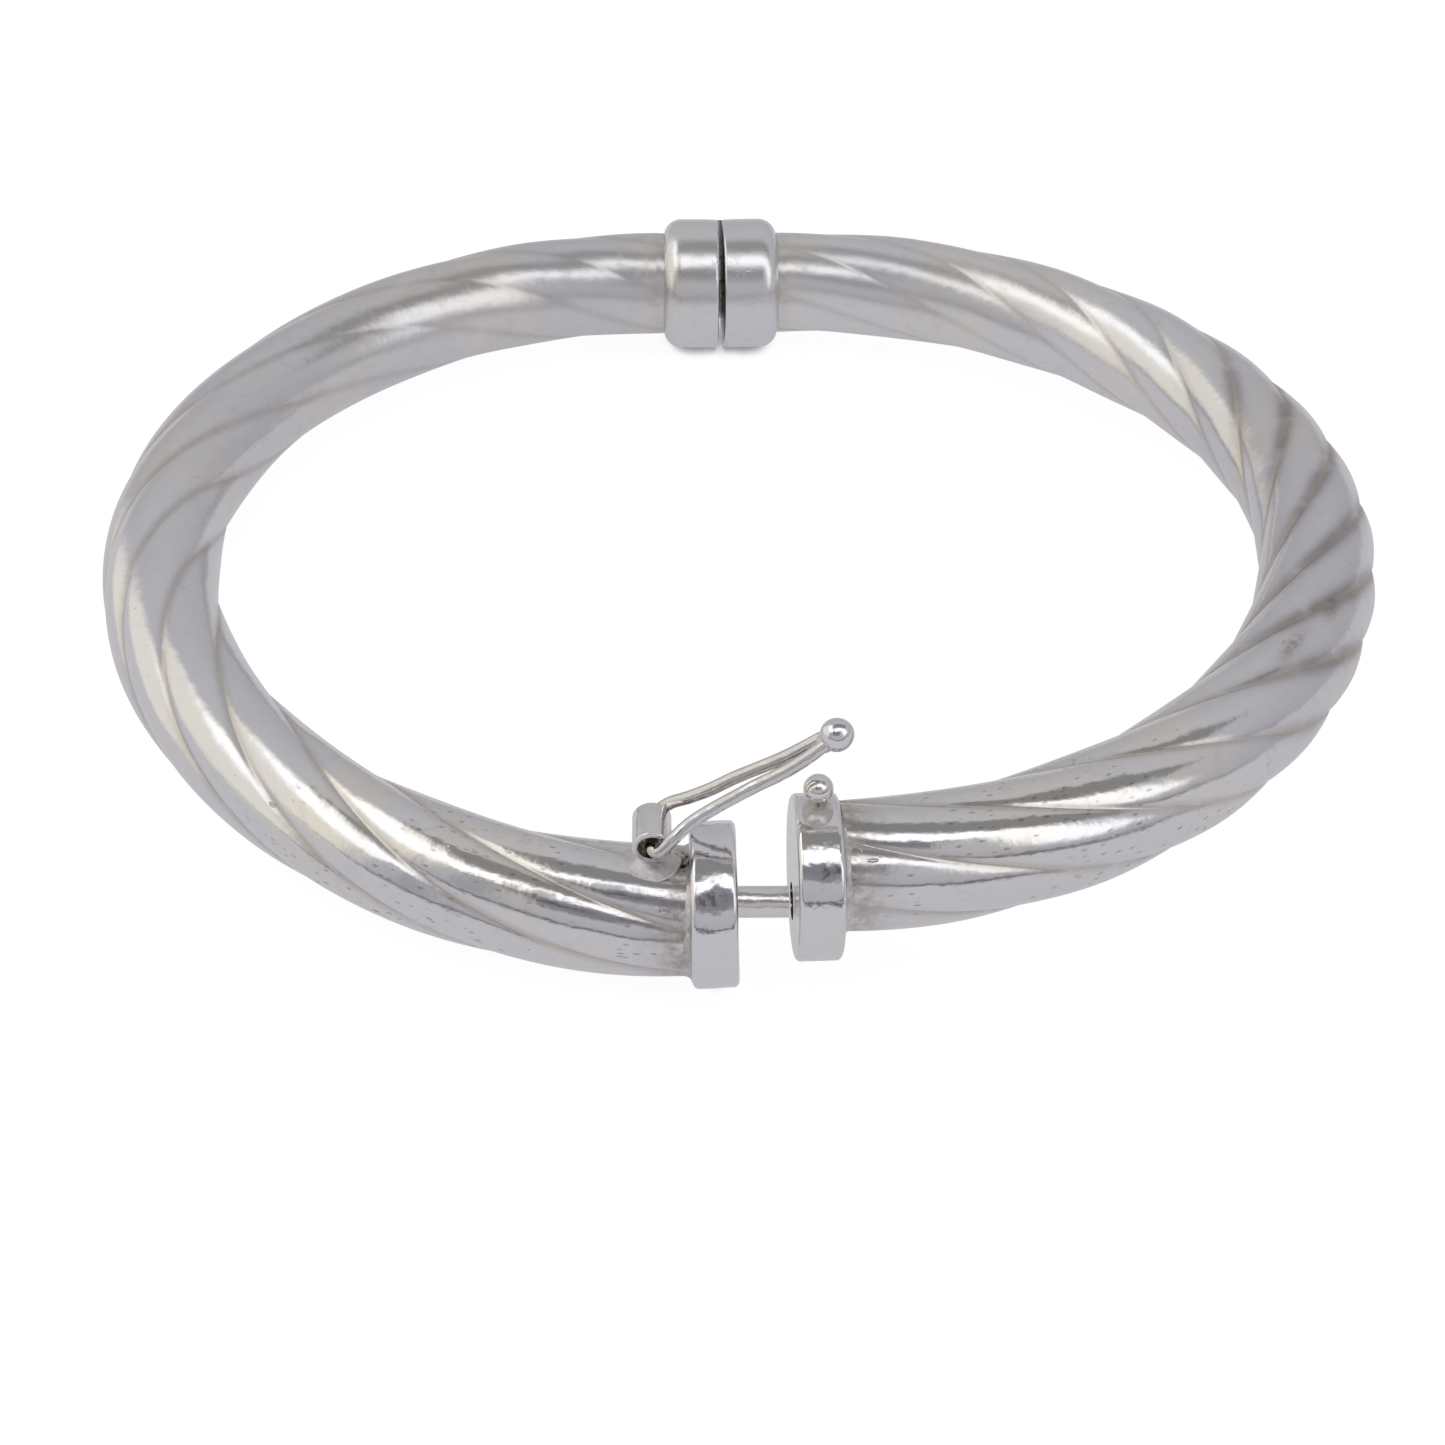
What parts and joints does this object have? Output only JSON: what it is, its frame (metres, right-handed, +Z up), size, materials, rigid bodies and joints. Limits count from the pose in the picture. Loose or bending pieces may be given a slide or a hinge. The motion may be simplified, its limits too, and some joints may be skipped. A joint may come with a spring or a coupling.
{
  "type": "bangle bracelet",
  "caption": "Oval hinged bangle of hollow twisted tube, with a tongue clasp between two end discs and a swinging wire safety catch that closes over a ball stud.",
  "frame": {"origin": "centre of the bounding box in plan, at its lowest point", "axes": "+X to the side of the moving half, along the oval's long way; +Y from the clasp to the hinge; +Z up, across the flat of the bangle"},
  "size_m": [0.072, 0.0671, 0.0156],
  "materials": {
    "twisted_silver": "polished silver with fine scratches and cream tarnish in the creases",
    "polished_silver": "polished silver, lightly scratched",
    "silver_wire": "polished drawn silver wire"
  },
  "bodies": {
    "left_half": {"left_half_tube": "twisted_silver", "left_hinge_collar": "polished_silver", "left_hinge_leaf": "polished_silver", "hinge_pin": "silver_wire", "left_clasp_disc": "polished_silver", "tongue_rod": "silver_wire", "catch_barrel": "polished_silver"},
    "right_half": {"right_half_tube": "twisted_silver", "right_hinge_collar": "polished_silver", "right_hinge_leaf": "polished_silver", "right_clasp_disc": "polished_silver", "catch_stud": "silver_wire"},
    "safety_catch": {"catch_loop": "silver_wire", "catch_tip_ball": "silver_wire"}
  },
  "joints": [
    {"name": "bangle_hinge", "type": "hinge", "parent": "left_half", "child": "right_half", "pos_m": [-0.00077, 0.03239, 0.00415], "axis": [0, 0, 1], "range_deg": [-2.19, 55]},
    {"name": "catch_hinge", "type": "hinge", "parent": "left_half", "child": "safety_catch", "pos_m": [-0.00507, -0.02851, 0.0086], "axis": [0, -1, 0], "range_deg": [0, 115]}
  ]
}
